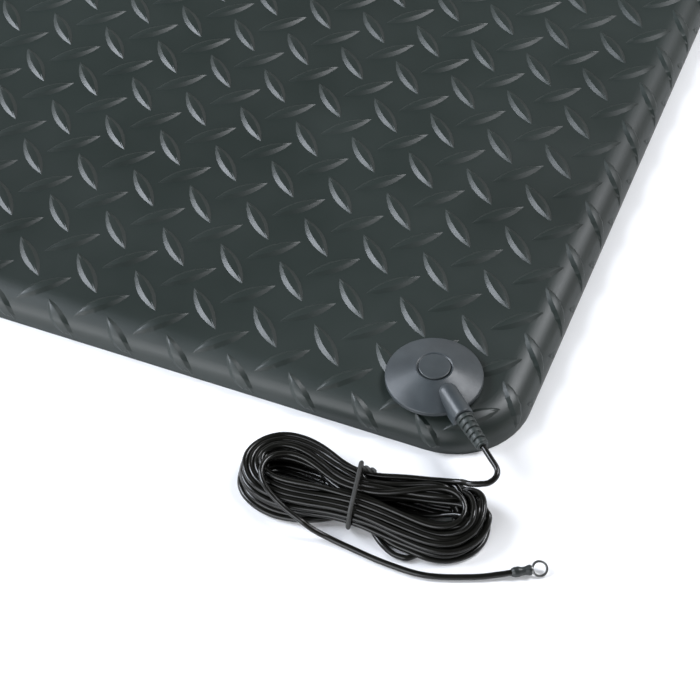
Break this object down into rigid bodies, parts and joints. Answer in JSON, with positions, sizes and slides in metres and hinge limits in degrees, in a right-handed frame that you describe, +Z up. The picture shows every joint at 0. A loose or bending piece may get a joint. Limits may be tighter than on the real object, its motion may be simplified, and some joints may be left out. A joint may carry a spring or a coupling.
{
  "type": "anti-static floor mat",
  "caption": "Bevelled diamond-tread rubber floor mat with a press stud in one corner, a cap that presses onto it, and a ground cord wound in a tied hank with a ring terminal",
  "frame": {"origin": "middle of the mat's underside, on the floor", "axes": "+X along the mat's long edge, +Y away from the front edge that the cord leaves by, +Z up; the studded corner is at +X, -Y"},
  "size_m": [0.9434, 0.6643, 0.02],
  "materials": {
    "mat_rubber": "moulded sponge rubber, charcoal, satin, with raised lugs",
    "nickel_plate": "nickel plated steel",
    "cap_plastic": "moulded dark grey plastic, semi-gloss",
    "disc_plastic": "moulded dark grey plastic disc",
    "relief_plastic": "soft moulded black plastic",
    "cord_jacket": "glossy black soft jacket",
    "tie_plastic": "plastic-coated wire",
    "sleeve_plastic": "black insulating sleeve",
    "tinned_copper": "tinned copper"
  },
  "bodies": {
    "root": {"mat": "mat_rubber", "snap_rivet": "nickel_plate", "snap_stud": "nickel_plate", "snap_socket": "nickel_plate", "ground_cap": "cap_plastic", "cap_disc": "disc_plastic", "strain_relief": "relief_plastic", "cord_lead": "cord_jacket", "cord_hank": "cord_jacket", "cord_tail": "cord_jacket", "cord_tie": "tie_plastic", "crimp_sleeve": "sleeve_plastic", "ring_terminal": "tinned_copper"}
  },
  "joints": []
}
